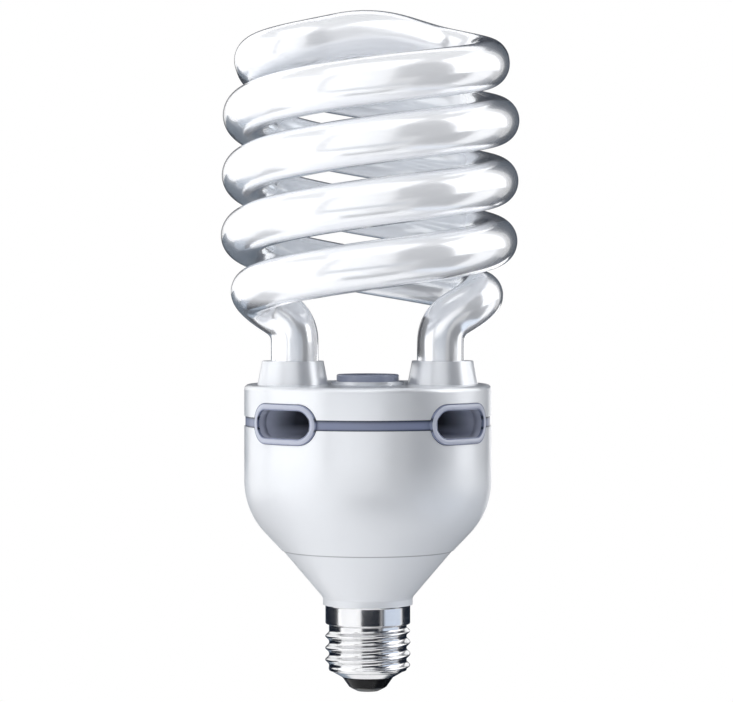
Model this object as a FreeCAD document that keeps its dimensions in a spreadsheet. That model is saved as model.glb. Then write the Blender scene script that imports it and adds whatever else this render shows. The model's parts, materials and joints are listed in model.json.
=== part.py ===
import FreeCAD, Part
import math
import os
import Sketcher
from FreeCAD import Placement, Rotation, Vector

# A high-output compact fluorescent lamp with a screw cap, in millimetres.
# The origin is the middle of the centre contact's face, +Z runs up the lamp's axis
# towards the coil, and the two legs of the tube stand on the X axis.

# Driving dimensions. Radii are outer radii and heights are above the centre contact
# unless the name says otherwise.
SIZES = {
    # Screw cap
    "contact_radius": 5.3,
    "contact_bevel_width": 2.0,
    "contact_bevel_height": 1.0,
    "contact_height": 1.3,
    "contact_rivet_radius": 1.6,
    "insulator_margin": 0.45,
    "insulator_rim_radius": 7.8,
    "insulator_rim_rise": 2.9,
    "insulator_plug_height": 2.4,
    "shell_lip_width": 0.5,
    "shell_shoulder_inset": 0.73,
    "shell_shoulder_rise": 1.6,
    "shell_wall": 0.45,
    "thread_root_radius": 12.13,
    "thread_depth": 0.92,
    "thread_pitch": 3.629,
    "thread_turns": 3.2,
    "thread_start_rise": 2.2,
    "thread_rib_width": 3.0,
    "thread_run_out": 0.487,
    "band_step": 0.87,
    "band_height": 5.0,
    "band_flare": 0.4,
    # Neck cone
    "neck_land_overhang": 0.35,
    "neck_land_height": 1.9,
    "neck_foot_step": 0.35,
    "neck_foot_rise": 0.7,
    "neck_spread": 11.95,
    "neck_height": 14.1,
    "neck_spigot_length": 7.0,
    "neck_wall": 1.8,
    "spigot_clearance": 0.1,
    # Lower bowl
    "seam_step": 0.35,
    "bowl_slope": 0.945,
    "bowl_spread": 11.4,
    "bowl_rounding": 23.0,
    "housing_wall": 1.8,
    "bowl_height": 38.05,
    "ledge_width": 2.8,
    "ledge_height": 2.0,
    # Vent ring, vents and chimney
    "ring_height": 3.2,
    "ring_recess": 0.35,
    "ring_inner_recess": 4.2,
    "vent_rise": 1.6,
    "vent_side_border": 2.0,
    "vent_level_border": 1.9,
    "vent_mouth_width": 22.0,
    "vent_mouth_depth": 8.4,
    "vent_throat_width": 7.6,
    "vent_throat_depth": 5.6,
    "vent_proud": 0.4,
    "vent_frame_clearance": 0.12,
    "duct_wall": 1.3,
    "chimney_radius": 9.55,
    "chimney_wall": 1.6,
    "chimney_floor_depth": 8.35,
    "chimney_stand": 3.0,
    "chimney_rounding": 0.5,
    "chimney_clearance": 0.15,
    # Upper cover
    "cover_height": 9.55,
    "cover_plate": 2.0,
    "cover_rounding": 1.5,
    "boss_width": 1.5,
    "boss_height": 0.9,
    "collar_flare": 1.4,
    "collar_rim": 1.25,
    "collar_height": 7.1,
    "collar_offset": 0.6,
    # Discharge tube
    "leg_spacing": 44.7,
    "tube_radius": 7.25,
    "tube_foot_depth": 6.1,
    "leg_rise": 11.6,
    "leg_bend_radius": 9.5,
    "leg_reach_inset": 0.7,
    "leg_reach_back": 1.0,
    "leg_reach_rise": 8.2,
    "cement_gap": 0.9,
    "cement_height": 6.2,
    "coil_swell": 1.2,
    "end_turn_radius": 36.9,
    "end_turn_drop": 1.4,
    "coil_pitch": 36.8,
    "coil_start_rise": 7.7,
    "bridge_rise": 9.7,
    "bridge_inset": 1.7,
    "bridge_slant": 30.0,
    "lean_right": 1.0,
    "lean_back": 1.3,
    # Circuit board and what it carries
    "board_clearance": 1.4,
    "board_thickness": 1.6,
    "board_depth": 12.35,
    "lead_radius": 0.4,
    "lead_clearance": 0.15,
    "lead_tail": 1.2,
    "bulk_capacitor_radius": 9.0,
    "bulk_capacitor_length": 31.5,
    "choke_length": 18.0,
    "choke_width": 14.0,
    "choke_height": 17.0,
    "choke_flange": 2.4,
    "choke_leg": 4.6,
    "filter_choke_radius": 5.2,
    "filter_choke_length": 13.0,
    "filter_choke_waist": 3.2,
    "filter_choke_flange": 2.0,
    "toroid_radius": 5.4,
    "toroid_bore_radius": 2.6,
    "toroid_length": 4.2,
    "toroid_winding_thickness": 0.7,
    "toroid_winding_width": 2.4,
    "transistor_width": 10.0,
    "transistor_body_depth": 3.2,
    "transistor_body_height": 9.2,
    "transistor_tab_depth": 1.3,
    "transistor_tab_height": 15.4,
    "transistor_standoff": 2.0,
    "transistor_tab_hole_radius": 1.8,
    "diode_radius": 1.35,
    "diode_length": 5.2,
    "diode_spacing": 3.5,
    "fuse_resistor_radius": 2.0,
    "fuse_resistor_length": 9.0,
    "resistor_radius": 1.25,
    "resistor_length": 6.4,
    "diac_radius": 0.95,
    "diac_length": 4.0,
    "film_capacitor_length": 13.0,
    "film_capacitor_width": 5.0,
    "film_capacitor_height": 11.0,
    "film_capacitor_rounding": 0.8,
    "thermistor_radius": 3.5,
    "thermistor_thickness": 2.6,
    "wrap_pin_radius": 0.55,
    "wrap_pin_height": 4.4,
    "wrap_pin_spacing": 5.6,
    "supply_wire_radius": 0.8,
    "supply_wire_gap": 0.3,
}

# Where each component sits on the board: its middle, along X and along Y.
BOARD_LAYOUT = {
    "bulk_capacitor": (-2.0, -5.0),
    "lamp_choke": (-15.0, 12.2),
    "filter_choke": (8.2, 14.0),
    "drive_toroid": (-1.0, 25.4),
    "transistor_high": (20.5, 6.0),
    "transistor_low": (20.5, -6.2),
    "start_capacitor": (14.0, -14.4),
    "coupling_capacitor": (-1.5, -22.0),
    "input_capacitor": (-19.4, -15.2),
    "rectifier_diode": (-27.5, -7.4),
    "fuse_resistor": (14.0, 24.2),
    "start_resistor": (-14.4, -21.6),
    "base_resistor": (-14.4, -25.4),
    "diac": (8.6, -26.0),
    "thermistor": (21.4, -19.6),
    "contact_wire": (9.6, 3.0),
    "shell_wire": (10.6, -3.0),
}

VENT_SPREAD = 46.6
DIODE_COUNT = 4
WINDING_COUNT = 3
HELIX_STEP = 30
COIL_END = 720


class Size:
    """A size from the sheet, or one worked out from such sizes, with its expression."""

    def __init__(self, number, text=None):
        self.number = float(number)
        self.text = text if text else f"({number})"

    def combine(self, sign, other, number):
        return Size(number, f"({self.text} {sign} {other.text})")

    def __add__(self, other):
        other = as_size(other)
        return self.combine("+", other, self.number + other.number)

    def __sub__(self, other):
        other = as_size(other)
        return self.combine("-", other, self.number - other.number)

    def __mul__(self, other):
        other = as_size(other)
        return self.combine("*", other, self.number * other.number)

    def __truediv__(self, other):
        other = as_size(other)
        return self.combine("/", other, self.number / other.number)

    def __radd__(self, other):
        return as_size(other) + self

    def __rsub__(self, other):
        return as_size(other) - self

    def __rmul__(self, other):
        return as_size(other) * self

    def __neg__(self):
        return as_size(0) - self

    def root(self):
        return Size(math.sqrt(self.number), f"sqrt({self.text})")


def as_size(value):
    return value if isinstance(value, Size) else Size(value)


class Sheet:
    """The sizes of the sheet, as attributes."""


doc = FreeCAD.newDocument("spiral_lamp")
sheet = doc.addObject("Spreadsheet::Sheet", "Sizes")
cells = dict(SIZES)
for name, (x, y) in BOARD_LAYOUT.items():
    cells[name + "_x"] = x
    cells[name + "_y"] = y
for row, (alias, value) in enumerate(cells.items(), 1):
    sheet.set(f"A{row}", alias.replace("_", " "))
    sheet.set(f"B{row}", str(value))
    sheet.setAlias(f"B{row}", alias)
doc.recompute()
s = Sheet()
for alias in cells:
    setattr(s, alias, Size(sheet.get(alias), f"Sizes.{alias}"))

# Radii and heights that follow from the sheet, from the contact's face upwards.
s.contact_face_radius = s.contact_radius - s.contact_bevel_width
s.insulator_low_radius = s.contact_radius + s.insulator_margin
s.insulator_rim_height = s.contact_height + s.insulator_rim_rise
s.insulator_top_height = s.insulator_rim_height + s.insulator_plug_height
s.shell_lip_radius = s.insulator_rim_radius + s.shell_lip_width
s.shell_shoulder_radius = s.thread_root_radius - s.shell_shoulder_inset
s.shell_shoulder_height = s.insulator_rim_height + s.shell_shoulder_rise
s.thread_crest_radius = s.thread_root_radius + s.thread_depth
s.thread_start_height = s.shell_shoulder_height + s.thread_start_rise
s.thread_height = s.thread_pitch * s.thread_turns
s.thread_end_height = s.thread_start_height + s.thread_height + s.thread_rib_width / 2
s.band_radius = s.thread_root_radius + s.band_step
s.band_start_height = s.thread_end_height + s.thread_run_out
s.band_end_height = s.band_start_height + s.band_height
s.neck_land_radius = s.band_radius + s.band_flare + s.neck_land_overhang
s.neck_foot_radius = s.neck_land_radius + s.neck_foot_step
s.neck_foot_height = s.band_end_height + s.neck_land_height + s.neck_foot_rise
s.neck_top_radius = s.neck_foot_radius + s.neck_spread
s.seam_height = s.neck_foot_height + s.neck_height
s.seam_radius = s.neck_top_radius + s.seam_step
s.bowl_radius = s.seam_radius + s.bowl_spread
s.bowl_top_height = s.seam_height + s.bowl_height
s.board_radius = s.bowl_radius - s.housing_wall - s.board_clearance
s.board_height = s.bowl_top_height - s.board_depth
s.ring_top_height = s.bowl_top_height + s.ring_height
s.vent_height = s.bowl_top_height + s.vent_rise
s.vent_frame_width = s.vent_mouth_width + 2 * s.vent_side_border
s.vent_frame_depth = s.vent_mouth_depth + 2 * s.vent_level_border
s.cover_top_height = s.ring_top_height + s.cover_height
s.chimney_floor_height = s.vent_height - s.chimney_floor_depth
s.chimney_top_height = s.cover_top_height + s.chimney_stand
s.boss_radius = s.chimney_radius + s.chimney_clearance + s.boss_width
s.collar_top_height = s.cover_top_height + s.collar_height
s.collar_head_radius = s.tube_radius + s.cement_gap + s.collar_rim
s.collar_foot_radius = s.collar_head_radius + s.collar_flare
s.tube_foot_height = s.cover_top_height - s.tube_foot_depth
s.leg_bend_height = s.collar_top_height + s.leg_rise
s.leg_reach = s.end_turn_radius - s.leg_reach_inset
s.leg_reach_height = s.leg_bend_height + s.leg_reach_rise
s.coil_radius = s.end_turn_radius + s.coil_swell
s.coil_start_height = s.leg_bend_height + s.coil_start_rise
s.coil_height = s.coil_pitch * COIL_END / 360
s.coil_end_height = s.coil_start_height + s.coil_height - s.end_turn_drop
s.bridge_reach = s.end_turn_radius - s.bridge_inset
s.bridge_height = s.coil_end_height + s.bridge_rise

parts = {}


def bind(thing, **sizes):
    for prop, size in sizes.items():
        thing.setExpression(prop, as_size(size).text)


def place(thing, x=0, y=0, z=0):
    for axis, size in zip("xyz", (x, y, z)):
        thing.setExpression(f"Placement.Base.{axis}", as_size(size).text)
    return thing


def finish(label, thing):
    """Keeps an object as the sub-part that carries this label."""
    thing.Label = label
    parts[label] = thing
    return thing


def box(length, width, height, x=0, y=0, z=0):
    """A block centred on x and y that stands on z."""
    thing = doc.addObject("Part::Box", "block")
    bind(thing, Length=length, Width=width, Height=height)
    return place(thing, x - as_size(length) / 2, y - as_size(width) / 2, z)


def rod(radius, length, x=0, y=0, z=0, along="z"):
    """A round bar: it stands on z, or lies centred along X or Y."""
    thing = doc.addObject("Part::Cylinder", "rod")
    bind(thing, Radius=radius, Height=length)
    half = as_size(length) / 2
    if along == "x":
        thing.Placement = Placement(Vector(), Rotation(Vector(0, 1, 0), 90))
        return place(thing, x - half, y, z)
    if along == "y":
        thing.Placement = Placement(Vector(), Rotation(Vector(1, 0, 0), -90))
        return place(thing, x, y - half, z)
    return place(thing, x, y, z)


def cone(low_radius, high_radius, height, x=0, y=0, z=0):
    thing = doc.addObject("Part::Cone", "cone")
    bind(thing, Radius1=low_radius, Radius2=high_radius, Height=height)
    return place(thing, x, y, z)


def fuse(*things):
    thing = doc.addObject("Part::MultiFuse", "joined")
    thing.Shapes = list(things)
    thing.Refine = True
    return thing


def cut(base, *tools):
    thing = doc.addObject("Part::Cut", "cut")
    thing.Base = base
    thing.Tool = tools[0] if len(tools) == 1 else fuse(*tools)
    return thing


def ring(outer_radius, inner_radius, height, x=0, y=0, z=0):
    return cut(rod(outer_radius, height, x, y, z), rod(inner_radius, height, x, y, z))


def outline(sketch, corners):
    """Draws a closed outline whose corners are bound to (radius, height) pairs."""
    corners = [(as_size(r), as_size(h)) for r, h in corners]
    count = len(corners)
    for i in range(count):
        a, b = corners[i], corners[(i + 1) % count]
        start = Vector(a[0].number, a[1].number, 0)
        end = Vector(b[0].number, b[1].number, 0)
        sketch.addGeometry(Part.LineSegment(start, end), False)
    for i in range(count):
        sketch.addConstraint(Sketcher.Constraint("Coincident", i, 2, (i + 1) % count, 1))
    for i, (r, h) in enumerate(corners):
        for kind, size, axis in (("DistanceX", r, -2), ("DistanceY", h, -1)):
            if abs(size.number) < 1e-9:
                sketch.addConstraint(Sketcher.Constraint("PointOnObject", i, 1, axis))
                continue
            number = sketch.addConstraint(Sketcher.Constraint(kind, -1, 1, i, 1, size.number))
            sketch.setExpression(f"Constraints[{number}]", size.text)


def turned(label, corners):
    """A body turned about the lamp's axis from an outline of (radius, height) corners."""
    body = doc.addObject("PartDesign::Body", label)
    sketch = body.newObject("Sketcher::SketchObject", label + "_outline")
    plane = [f for f in body.Origin.OriginFeatures if f.Role == "XZ_Plane"][0]
    sketch.AttachmentSupport = [(plane, "")]
    sketch.MapMode = "FlatFace"
    outline(sketch, corners)
    turn = body.newObject("PartDesign::Revolution", label + "_turn")
    turn.Profile = sketch
    turn.ReferenceAxis = (sketch, ["V_Axis"])
    turn.Angle = 360.0
    doc.recompute()
    return body


def round_edges(body, radius, rings):
    """Rounds the round edges of a body that have these (radius, height) pairs."""
    base = body.Tip
    names = []
    for i, edge in enumerate(base.Shape.Edges, 1):
        if not isinstance(edge.Curve, Part.Circle):
            continue
        for r, h in rings:
            same_radius = abs(edge.Curve.Radius - as_size(r).number) < 1e-4
            if same_radius and abs(edge.Curve.Center.z - as_size(h).number) < 1e-4:
                names.append(f"Edge{i}")
    fillet = body.newObject("PartDesign::Fillet", body.Name + "_rounding")
    fillet.Base = (base, names)
    bind(fillet, Radius=radius)
    doc.recompute()
    return body


def stadium(width, depth, distance, angle):
    """An upright outline with two straight sides and two half-round ends, facing outwards."""
    sketch = doc.addObject("Sketcher::SketchObject", "oval")
    half = (width.number - depth.number) / 2
    r = depth.number / 2
    up = Vector(0, 0, 1)
    sketch.addGeometry(Part.LineSegment(Vector(-half, r, 0), Vector(half, r, 0)), False)
    right = Part.Circle(Vector(half, 0, 0), up, r)
    sketch.addGeometry(Part.ArcOfCircle(right, -math.pi / 2, math.pi / 2), False)
    sketch.addGeometry(Part.LineSegment(Vector(half, -r, 0), Vector(-half, -r, 0)), False)
    left = Part.Circle(Vector(-half, 0, 0), up, r)
    sketch.addGeometry(Part.ArcOfCircle(left, math.pi / 2, 3 * math.pi / 2), False)
    for one, end, other, start in ((0, 2, 1, 2), (1, 1, 2, 1), (2, 2, 3, 2), (3, 1, 0, 1)):
        sketch.addConstraint(Sketcher.Constraint("Tangent", one, end, other, start))
    sketch.addConstraint(Sketcher.Constraint("PointOnObject", 1, 3, -1))
    sketch.addConstraint(Sketcher.Constraint("Symmetric", 1, 3, 3, 3, -1, 1))
    number = sketch.addConstraint(Sketcher.Constraint("Radius", 1, r))
    sketch.setExpression(f"Constraints[{number}]", (depth / 2).text)
    number = sketch.addConstraint(Sketcher.Constraint("DistanceX", 3, 3, 1, 3, 2 * half))
    sketch.setExpression(f"Constraints[{number}]", (width - depth).text)
    upright = Rotation(Vector(0, 0, 1), angle + 90) * Rotation(Vector(1, 0, 0), 90)
    sketch.Placement = Placement(Vector(), upright)
    c, sn = math.cos(math.radians(angle)), math.sin(math.radians(angle))
    return place(sketch, distance * c, distance * sn, s.vent_height)


def funnel(outer, outer_distance, inner, inner_distance, angle):
    """A solid between an outer and an inner stadium outline."""
    thing = doc.addObject("Part::Loft", "funnel")
    thing.Sections = [
        stadium(*outer, outer_distance, angle),
        stadium(*inner, inner_distance, angle),
    ]
    thing.Solid = True
    thing.Ruled = True
    return thing


def vent_angles():
    """Directions of the vents: one on each side of the front, one on each side of the back."""
    return [face + side * VENT_SPREAD for face in (-90, 90) for side in (-1, 1)]


def vent_plugs(extra):
    """Stadium blocks through the housing's wall at each vent, larger than the frame by extra."""
    size = (s.vent_frame_width + 2 * extra, s.vent_frame_depth + 2 * extra)
    outside = s.bowl_radius + 2 * s.vent_proud + 2
    inside = s.bowl_radius - s.ring_inner_recess - 4 * s.housing_wall
    return [funnel(size, outside, size, inside, angle) for angle in vent_angles()]


# The screw cap: a soldered centre contact, a black insulator and a rolled metal shell.


def make_centre_contact():
    corners = [
        (0, 0),
        (s.contact_face_radius, 0),
        (s.contact_radius, s.contact_bevel_height),
        (s.contact_radius, s.contact_height),
        (s.contact_rivet_radius, s.contact_height),
        (s.contact_rivet_radius, s.insulator_top_height),
        (0, s.insulator_top_height),
    ]
    finish("centre_contact", turned("centre_contact_body", corners))


def make_cap_insulator():
    inner = s.shell_shoulder_radius - s.shell_wall
    corners = [
        (s.contact_rivet_radius, s.contact_height),
        (s.insulator_low_radius, s.contact_height),
        (s.insulator_rim_radius, s.insulator_rim_height),
        (s.insulator_rim_radius, s.insulator_rim_height + s.shell_wall),
        (inner, s.shell_shoulder_height + s.shell_wall),
        (inner, s.insulator_top_height),
        (s.contact_rivet_radius, s.insulator_top_height),
    ]
    finish("cap_insulator", turned("cap_insulator_body", corners))


def make_cap_shell():
    wall = s.shell_wall
    shoulder = s.shell_shoulder_height
    run_in = s.thread_start_height - s.thread_rib_width / 2 - wall / 2
    corners = [
        (s.insulator_rim_radius, s.insulator_rim_height),
        (s.shell_lip_radius, s.insulator_rim_height),
        (s.shell_shoulder_radius, shoulder),
        (s.thread_root_radius, run_in),
        (s.thread_root_radius, s.band_start_height - wall),
        (s.band_radius, s.band_start_height),
        (s.band_radius, s.band_end_height - s.band_flare),
        (s.band_radius + s.band_flare, s.band_end_height),
        (s.band_radius + s.band_flare - wall, s.band_end_height),
        (s.band_radius - wall, s.band_end_height - s.band_flare),
        (s.band_radius - wall, s.band_start_height + wall),
        (s.thread_root_radius - wall, s.band_start_height),
        (s.thread_root_radius - wall, run_in),
        (s.shell_shoulder_radius - wall, shoulder + wall),
        (s.insulator_rim_radius, s.insulator_rim_height + wall),
    ]
    shell = turned("cap_shell_body", corners)
    line = doc.addObject("Part::Helix", "thread_line")
    bind(line, Radius=s.thread_root_radius, Pitch=s.thread_pitch, Height=s.thread_height)
    place(line, 0, 0, s.thread_start_height)
    rib = doc.addObject("Part::Sweep", "thread_rib")
    rib.Sections = [thread_section()]
    rib.Spine = (line, ["Edge1"])
    rib.Solid = True
    rib.Frenet = True
    threaded = fuse(shell, rib)
    threaded.Refine = False
    finish("cap_shell", threaded)


def thread_section():
    """The rolled rib's section: a round crest on a chord that lies inside the wall."""
    foot = (s.thread_root_radius - s.shell_wall / 3).number
    half = (s.thread_rib_width / 2).number
    start = s.thread_start_height.number
    low = Vector(foot, 0, start - half)
    high = Vector(foot, 0, start + half)
    tip = Vector(s.thread_crest_radius.number, 0, start)
    section = doc.addObject("Part::Feature", "thread_section")
    chord = Part.LineSegment(high, low)
    section.Shape = Part.Wire([Part.Arc(low, tip, high).toShape(), chord.toShape()])
    return section


# The housing: a neck cone, a bowl, a vented ring with its air duct, and a cover.


def make_neck_cone():
    land_top = s.band_end_height + s.neck_land_height
    spigot = s.thread_root_radius - s.shell_wall - s.spigot_clearance
    collar = s.band_radius - s.shell_wall - s.spigot_clearance
    low = s.band_end_height - s.neck_spigot_length
    step = s.band_start_height + s.shell_wall
    gain = (s.neck_top_radius - s.neck_foot_radius) / (s.seam_height - s.neck_foot_height)
    skew = s.neck_wall * (1 + gain * gain).root()
    bore = spigot - s.neck_wall
    bore_top = s.neck_foot_height + (bore + skew - s.neck_foot_radius) / gain
    corners = [
        (bore, low),
        (spigot, low),
        (spigot, step),
        (collar, step),
        (collar, s.band_end_height),
        (s.neck_land_radius, s.band_end_height),
        (s.neck_land_radius, land_top),
        (s.neck_foot_radius, s.neck_foot_height),
        (s.neck_top_radius, s.seam_height),
        (s.neck_top_radius - skew, s.seam_height),
        (bore, bore_top),
    ]
    finish("neck_cone", turned("neck_cone_body", corners))


def make_lower_bowl():
    wall = s.housing_wall
    skew = wall * (1 + s.bowl_slope * s.bowl_slope).root()
    inside = s.bowl_radius - wall
    corner = s.seam_height + (s.bowl_radius - s.seam_radius) / s.bowl_slope
    inner_corner = s.seam_height + (inside - s.seam_radius + skew) / s.bowl_slope
    ledge = inside - s.ledge_width
    corners = [
        (s.seam_radius, s.seam_height),
        (s.bowl_radius, corner),
        (s.bowl_radius, s.bowl_top_height),
        (inside, s.bowl_top_height),
        (inside, s.board_height),
        (ledge, s.board_height),
        (inside, s.board_height - s.ledge_height),
        (inside, inner_corner),
        (s.seam_radius - skew, s.seam_height),
    ]
    bowl = turned("lower_bowl_body", corners)
    round_edges(bowl, s.bowl_rounding, [(s.bowl_radius, corner)])
    finish("lower_bowl", cut(bowl, *vent_plugs(s.vent_frame_clearance)))


def make_air_duct():
    """One grey moulding: the ring, four oval vent frames, their ducts and the chimney."""
    band_radius = s.bowl_radius - s.ring_recess
    inside = s.bowl_radius - s.ring_inner_recess
    floor = s.chimney_floor_height
    wall = s.duct_wall
    bore = s.chimney_radius - s.chimney_wall
    band = ring(band_radius, inside, s.ring_height, 0, 0, s.bowl_top_height)
    chimney = turned(
        "chimney_body",
        [
            (0, floor),
            (s.chimney_radius, floor),
            (s.chimney_radius, s.chimney_top_height),
            (bore, s.chimney_top_height),
            (bore, floor + wall),
            (0, floor + wall),
        ],
    )
    round_edges(chimney, s.chimney_rounding, [(s.chimney_radius, s.chimney_top_height)])
    mouth = (s.vent_mouth_width, s.vent_mouth_depth)
    throat = (s.vent_throat_width, s.vent_throat_depth)
    mouth_skin = (s.vent_mouth_width + 2 * wall, s.vent_mouth_depth + 2 * wall)
    throat_skin = (s.vent_throat_width + 2 * wall, s.vent_throat_depth + 2 * wall)
    frame = (s.vent_frame_width, s.vent_frame_depth)
    beyond = s.bowl_radius + 2 * s.vent_proud + 1
    near = s.chimney_radius - s.chimney_wall / 2
    skins = []
    bores = []
    for angle in vent_angles():
        block = funnel(frame, beyond, frame, inside - wall, angle)
        face = ring(s.bowl_radius + s.vent_proud, inside, s.vent_frame_depth * 2, 0, 0,
                    s.vent_height - s.vent_frame_depth)
        lip = doc.addObject("Part::MultiCommon", "vent_lip")
        lip.Shapes = [block, face]
        skins += [lip, funnel(mouth_skin, inside + wall, throat_skin, near, angle)]
        bores.append(funnel(mouth, beyond, mouth, inside, angle))
        bores.append(funnel(mouth, inside, throat, near, angle))
        bores.append(funnel(throat, near, throat, bore / 2, angle))
    hollow = rod(bore, s.ring_top_height, 0, 0, floor + wall)
    finish("air_duct", cut(fuse(band, chimney, *skins), hollow, *bores))


def leg_places():
    return {"right": s.leg_spacing / 2, "left": -s.leg_spacing / 2}


def make_upper_cover():
    wall = s.housing_wall
    foot = s.ring_top_height
    top = s.cover_top_height
    under = top - s.cover_plate
    eye = s.chimney_radius + s.chimney_clearance
    corners = [
        (s.bowl_radius, foot),
        (s.bowl_radius, top),
        (s.boss_radius, top),
        (s.boss_radius, top + s.boss_height),
        (eye, top + s.boss_height),
        (eye, under),
        (s.bowl_radius - wall, under),
        (s.bowl_radius - wall, foot),
    ]
    plate = turned("upper_cover_body", corners)
    round_edges(plate, s.cover_rounding, [(s.bowl_radius, top)])
    collars = []
    holes = []
    for side, x in leg_places().items():
        out = s.collar_offset if side == "right" else -s.collar_offset
        collars.append(cone(s.collar_foot_radius, s.collar_head_radius, s.collar_height, x + out, 0, top))
        holes.append(rod(s.tube_radius + s.cement_gap, s.collar_height * 2, x, 0, under - 1))
    finish("upper_cover", cut(fuse(plate, *collars), *holes, *vent_plugs(s.vent_frame_clearance)))


# The discharge tube: one sealed glass tube, wound as two strands joined over the axis.


def strand_corners():
    """Corners of one strand's centre line, from its foot to the bridge over the axis."""
    half_step = math.radians(HELIX_STEP / 2)
    leg = s.leg_spacing.number / 2
    corners = [
        Vector(leg, 0, s.tube_foot_height.number),
        Vector(leg, 0, s.leg_bend_height.number),
        Vector(s.leg_reach.number, s.leg_reach_back.number, s.leg_reach_height.number),
    ]
    coil, end = s.coil_radius.number, s.end_turn_radius.number
    for degrees in range(HELIX_STEP, COIL_END, HELIX_STEP):
        turn = math.radians(degrees)
        nearest_end = min(degrees, COIL_END - degrees, 180)
        r = end + (coil - end) * math.sin(math.radians(nearest_end / 2))
        r /= math.cos(half_step)
        late = max(degrees - COIL_END + 180, 0) / 180
        z = s.coil_start_height.number + s.coil_pitch.number * degrees / 360
        z -= s.end_turn_drop.number * late**2
        corners.append(Vector(r * math.cos(turn), r * math.sin(turn), z))
    start, rise = s.coil_end_height.number, s.bridge_rise.number
    slant = math.radians(s.bridge_slant.number)
    half_span = s.bridge_reach.number
    loop = half_span * math.sin(slant) / (1 + math.sin(slant))
    loop_turn = math.pi / 2 + slant
    way = loop * loop_turn + loop / math.tan(slant)
    reach = loop / math.cos(loop_turn / 8)
    for eighth in (1, 3, 5, 7):
        turn = loop_turn * eighth / 8
        x = half_span - loop + reach * math.cos(turn)
        z = start + rise * loop * turn / way
        corners.append(Vector(x, reach * math.sin(turn), z))
    corners.append(Vector(0, 0, s.bridge_height.number))
    return corners


def leaned(point):
    """Leans the coil to the right and back; its top turn stands level again."""
    right = math.sin(math.radians(s.lean_right.number))
    back = math.sin(math.radians(s.lean_back.number))
    rise = max(point.z - s.leg_bend_height.number, 0)
    fade_in = min(rise / s.tube_radius.number / 2, 1)
    level = s.coil_end_height.number
    fade_out = min(max((level - point.z) / s.coil_pitch.number * 2, 0), 1)
    drop = (right * point.x + back * point.y) * fade_in * fade_out
    return point + Vector(right * rise, back * rise, -drop)


def reaches(sides, half_turns, first_radius):
    """How far each arc reaches along its sides, worked out from one end of the chain."""
    reach = [first_radius * math.tan(half_turns[0])]
    for i in range(1, len(half_turns)):
        reach.append(min(sides[i] - reach[-1], sides[i + 1] / 2))
    return reach


def rounded_line(points, first_radius):
    """Arcs tangent to the sides of a chain of corners, alike from both of its ends."""
    count = len(points) - 2
    sides = [(b - a).Length for a, b in zip(points, points[1:])]
    ahead = [(b - a).normalize() for a, b in zip(points, points[1:])]
    half_turns = [ahead[i].getAngle(ahead[i + 1]) / 2 for i in range(count)]
    from_start = reaches(sides, half_turns, first_radius)
    from_end = reaches(sides[::-1], half_turns[::-1], first_radius)[::-1]
    reach = from_start[: count // 2] + from_end[count // 2 :]
    edges = []
    start = points[0]
    for i in range(count):
        corner = points[i + 1]
        entry = corner - ahead[i] * reach[i]
        leave = corner + ahead[i + 1] * reach[i]
        radius = reach[i] / math.tan(half_turns[i])
        inwards = (ahead[i + 1] - ahead[i]).normalize()
        middle = corner + inwards * (radius / math.cos(half_turns[i]) - radius)
        if (entry - start).Length > s.tube_radius.number / 1000:
            edges.append(Part.LineSegment(start, entry).toShape())
        else:
            entry = start
        edges.append(Part.Arc(entry, middle, leave).toShape())
        start = leave
    edges.append(Part.LineSegment(start, points[-1]).toShape())
    return Part.Wire(edges)


def make_spiral_tube():
    strand = strand_corners()
    other = [Vector(-p.x, -p.y, p.z) for p in reversed(strand[:-1])]
    points = [leaned(p) for p in strand + other]
    line = doc.addObject("Part::Feature", "tube_line")
    line.Shape = rounded_line(points, s.leg_bend_radius.number)
    section = doc.addObject("Part::Circle", "tube_section")
    bind(section, Radius=s.tube_radius)
    place(section, s.leg_spacing / 2, 0, s.tube_foot_height)
    tube = doc.addObject("Part::Sweep", "tube")
    tube.Sections = [section]
    tube.Spine = (line, [f"Edge{i + 1}" for i in range(len(line.Shape.Edges))])
    tube.Solid = True
    tube.Transition = "Right corner"
    finish("spiral_tube", tube)
    doc.recompute()
    length = line.Shape.Length
    print("tube length", round(length, 1), "bends", len(line.Shape.Edges))
    print("volume ratio", round(tube.Shape.Volume / (math.pi * s.tube_radius.number**2 * length), 5))


def make_tube_cements():
    top = s.collar_top_height
    for side, x in leg_places().items():
        bed = ring(
            s.tube_radius + s.cement_gap,
            s.tube_radius,
            s.cement_height,
            x,
            0,
            top - s.cement_height - s.cement_gap,
        )
        finish(f"tube_cement_{side}", bed)


# The ballast: a round board on the bowl's ledge, with its components hanging below it.
# Each component is built about the board's underside at its own place, and its leads
# pass up through the board.

lead_holes = []


def spot(name):
    return getattr(s, name + "_x"), getattr(s, name + "_y")


def leads(places):
    """Leads from a component up through the board, and the holes that they need."""
    pins = []
    for x, y in places:
        pins.append(rod(s.lead_radius, s.board_thickness + s.lead_tail, x, y, s.board_height))
        lead_holes.append((x, y, s.lead_radius + s.lead_clearance))
    return pins


def make_bulk_capacitor():
    x, y = spot("bulk_capacitor")
    z = s.board_height - s.bulk_capacitor_length
    can = rod(s.bulk_capacitor_radius, s.bulk_capacitor_length, x, y, z)
    gap = s.bulk_capacitor_radius / 2.4
    finish("bulk_capacitor", fuse(can, *leads([(x - gap, y), (x + gap, y)])))


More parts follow.
